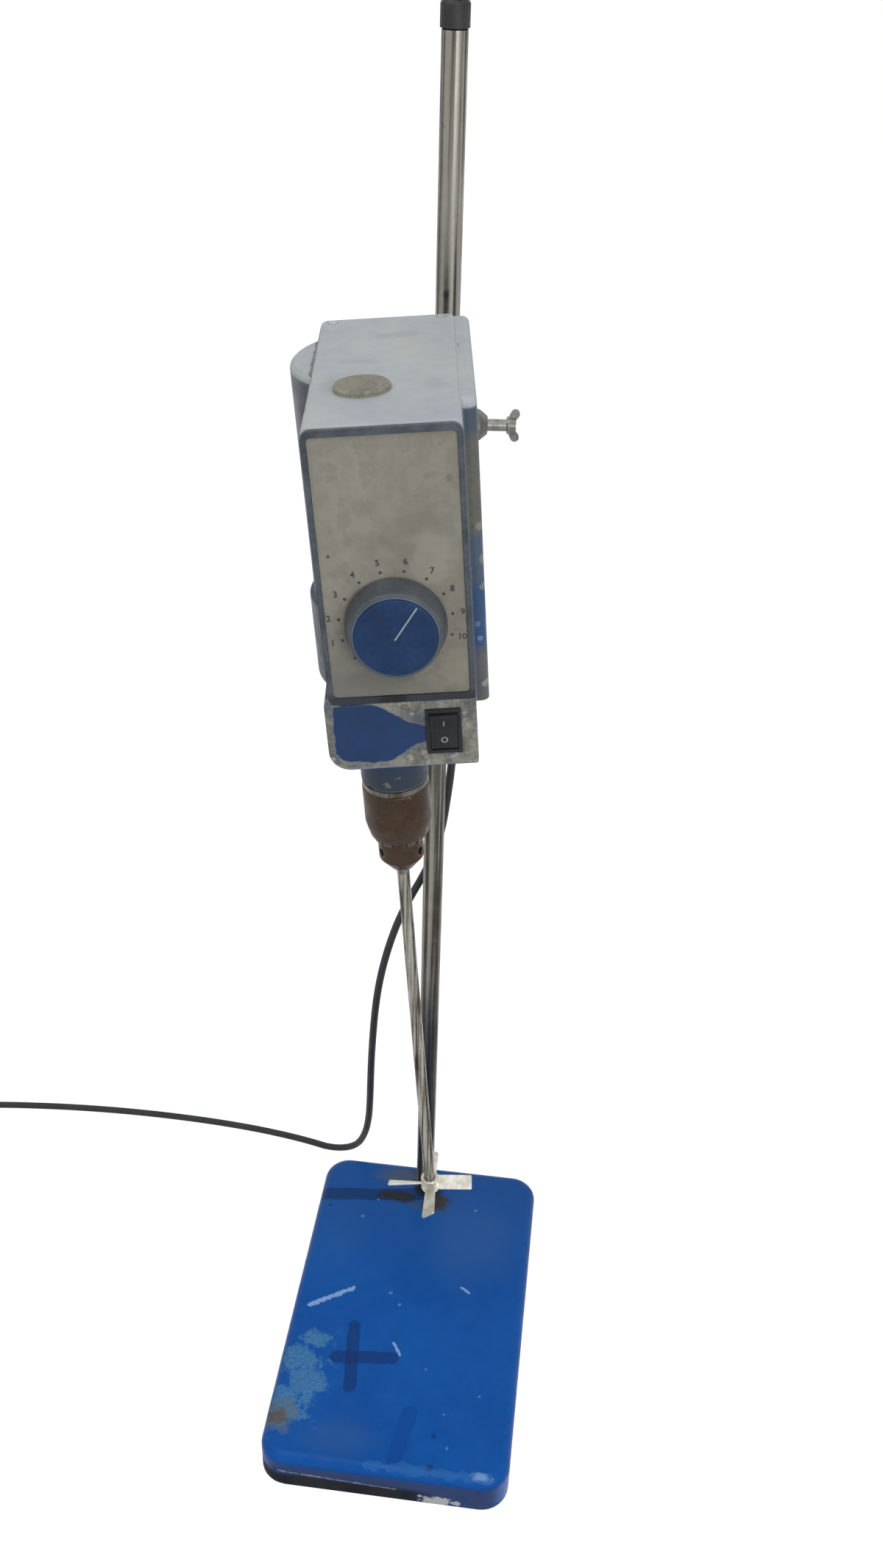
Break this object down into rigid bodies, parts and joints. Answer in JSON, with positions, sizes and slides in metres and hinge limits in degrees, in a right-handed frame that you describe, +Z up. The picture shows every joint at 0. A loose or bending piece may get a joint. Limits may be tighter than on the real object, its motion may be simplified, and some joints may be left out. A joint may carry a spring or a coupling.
{
  "type": "overhead stirrer",
  "caption": "Laboratory overhead stirrer: motor head with speed knob and drill chuck on a clamp and rod over a flat plate stand, driving a bladed stirring shaft.",
  "frame": {"origin": "centre of the stand plate's top face, where the vessel stands", "axes": "+Z up along the rod, +X to the right and +Y towards the back, as seen by someone who faces the plate's short front edge"},
  "size_m": [0.6572, 0.3797, 1.037],
  "materials": {
    "base_paint": "blue gloss paint over cast iron",
    "foot_rubber": "matt",
    "screw_steel": "bright zinc",
    "rod_chrome": "dull chrome",
    "black_plastic": "matt black",
    "boss_metal": "cast, worn",
    "wing_nickel": "dull nickel",
    "head_paint": "worn blue paint over cast aluminium",
    "lid_grey": "pale blue-grey, satin",
    "bezel_grey": "dark blue-grey",
    "panel_beige": "beige grey, stained",
    "print_black": "print",
    "knob_grey": "grey",
    "cap_navy": "navy, satin",
    "pointer_white": "print",
    "switch_black": "black",
    "plug_beige": "beige",
    "drive_steel": "ground steel",
    "pulley_aluminium": "turned",
    "belt_rubber": "black",
    "board_green": "circuit board",
    "screw_black": "blackened steel",
    "cord_black": "black",
    "chuck_steel": "bright steel",
    "sleeve_brown": "browned steel",
    "shaft_steel": "stained stainless steel",
    "pin_nickel": "nickel plated"
  },
  "bodies": {
    "stand": {"base_plate": "base_paint", "base_feet": "foot_rubber", "foot_screws": "screw_steel"},
    "mast": {"stand_rod": "rod_chrome", "rod_washer": "screw_steel", "rod_nut": "screw_steel", "rod_cap": "black_plastic", "mains_cord": "cord_black", "cord_coil": "cord_black", "coil_tie": "black_plastic", "plug_body": "cord_black", "plug_pins": "pin_nickel"},
    "carriage": {"boss_head": "boss_metal"},
    "rod_screw": {"rod_wing_screw": "wing_nickel"},
    "arm_screw": {"arm_wing_screw": "wing_nickel"},
    "arm": {"extension_arm": "rod_chrome"},
    "head": {"housing": "head_paint", "top_cover": "lid_grey", "cover_screws": "screw_steel", "panel_bezel": "bezel_grey", "front_panel": "panel_beige", "dial_marks": "print_black", "switch_frame": "switch_black", "spindle_bearings": "drive_steel", "drive_belt": "belt_rubber", "motor_can": "drive_steel", "control_board": "board_green", "board_parts": "black_plastic", "potentiometer": "pulley_aluminium", "arm_set_screw": "screw_black", "cord_gland": "cord_black"},
    "knob": {"speed_knob": "knob_grey", "knob_cap": "cap_navy", "knob_pointer": "pointer_white"},
    "rocker": {"switch_rocker": "switch_black"},
    "cap": {"spindle_cap": "plug_beige"},
    "spindle": {"spindle_tube": "drive_steel", "spindle_pulley": "pulley_aluminium", "chuck_body": "chuck_steel"},
    "rotor": {"motor_rotor": "drive_steel", "motor_pulley": "pulley_aluminium", "cooling_fan": "black_plastic"},
    "sleeve": {"chuck_sleeve": "sleeve_brown"},
    "jaw_1": {"chuck_jaw_1": "chuck_steel"},
    "jaw_2": {"chuck_jaw_2": "chuck_steel"},
    "jaw_3": {"chuck_jaw_3": "chuck_steel"},
    "stirrer": {"stirrer_shaft": "shaft_steel", "propeller": "shaft_steel", "hub_screw": "shaft_steel"}
  },
  "joints": [
    {"name": "swing", "type": "hinge", "parent": "stand", "child": "mast", "pos_m": [-0.0043, 0.1355, 0], "axis": [0, 0, 1], "range_deg": [-90, 90]},
    {"name": "height_slide", "type": "slide", "parent": "mast", "child": "carriage", "axis": [0, 0, 1], "range_m": [-0.21, 0.21], "deforming": ["mains_cord"]},
    {"name": "rod_screw_turn", "type": "hinge", "parent": "carriage", "child": "rod_screw", "pos_m": [0.01849, 0.13862, 0.7425], "axis": [0.9907, 0.1357, 0], "range_deg": [0, 360]},
    {"name": "arm_screw_turn", "type": "hinge", "parent": "carriage", "child": "arm_screw", "pos_m": [-0.05681, 0.12831, 0.7425], "axis": [-0.9907, -0.1357, 0], "range_deg": [0, 360]},
    {"name": "reach_slide", "type": "slide", "parent": "carriage", "child": "arm", "axis": [0.1357, -0.9907, 0], "range_m": [-0.024, 0.042]},
    {"name": "head_roll", "type": "hinge", "parent": "arm", "child": "head", "pos_m": [-0.03402, 0.13143, 0.7425], "axis": [-0.1357, 0.9907, 0], "range_deg": [-30, 30]},
    {"name": "knob_turn", "type": "hinge", "parent": "head", "child": "knob", "pos_m": [0.00295, -0.12977, 0.72755], "axis": [-0.1357, 0.9907, 0], "range_deg": [-165, 71]},
    {"name": "switch_rock", "type": "hinge", "parent": "head", "child": "rocker", "pos_m": [0.02955, -0.12714, 0.66344], "axis": [-0.9877, -0.1353, -0.0785], "range_deg": [0, 14]},
    {"name": "cap_pull", "type": "slide", "parent": "head", "child": "cap", "axis": [-0.0777, -0.0106, 0.9969], "range_m": [0, 0.03]},
    {"name": "spindle_spin", "type": "hinge", "parent": "head", "child": "spindle", "pos_m": [-0.00545, -0.07278, 0.5961], "axis": [-0.0777, -0.0106, 0.9969], "continuous": true},
    {"name": "motor_spin", "type": "hinge", "parent": "head", "child": "rotor", "pos_m": [-0.01265, -0.00574, 0.68452], "axis": [-0.0777, -0.0106, 0.9969], "continuous": true},
    {"name": "sleeve_turn", "type": "hinge", "parent": "spindle", "child": "sleeve", "pos_m": [-0.00234, -0.07236, 0.55622], "axis": [-0.0777, -0.0106, 0.9969], "range_deg": [0, 900]},
    {"name": "jaw_1_slide", "type": "slide", "parent": "spindle", "child": "jaw_1", "axis": [0.0602, 0.0959, 0.9936], "range_m": [0, 0.005]},
    {"name": "jaw_2_slide", "type": "slide", "parent": "spindle", "child": "jaw_2", "axis": [-0.2369, 0.0552, 0.97], "range_m": [0, 0.005]},
    {"name": "jaw_3_slide", "type": "slide", "parent": "spindle", "child": "jaw_3", "axis": [-0.053, -0.1825, 0.9818], "range_m": [0, 0.005]},
    {"name": "shaft_slide", "type": "slide", "parent": "spindle", "child": "stirrer", "axis": [-0.0777, -0.0106, 0.9969], "range_m": [-0.025, 0.19]}
  ],
  "couplings": [
    {"joint": "motor_spin", "follows": "spindle_spin", "ratio": 3.3333},
    {"joint": "jaw_1_slide", "follows": "sleeve_turn", "m_per_rad": 0.0003183},
    {"joint": "jaw_2_slide", "follows": "sleeve_turn", "m_per_rad": 0.0003183},
    {"joint": "jaw_3_slide", "follows": "sleeve_turn", "m_per_rad": 0.0003183}
  ]
}
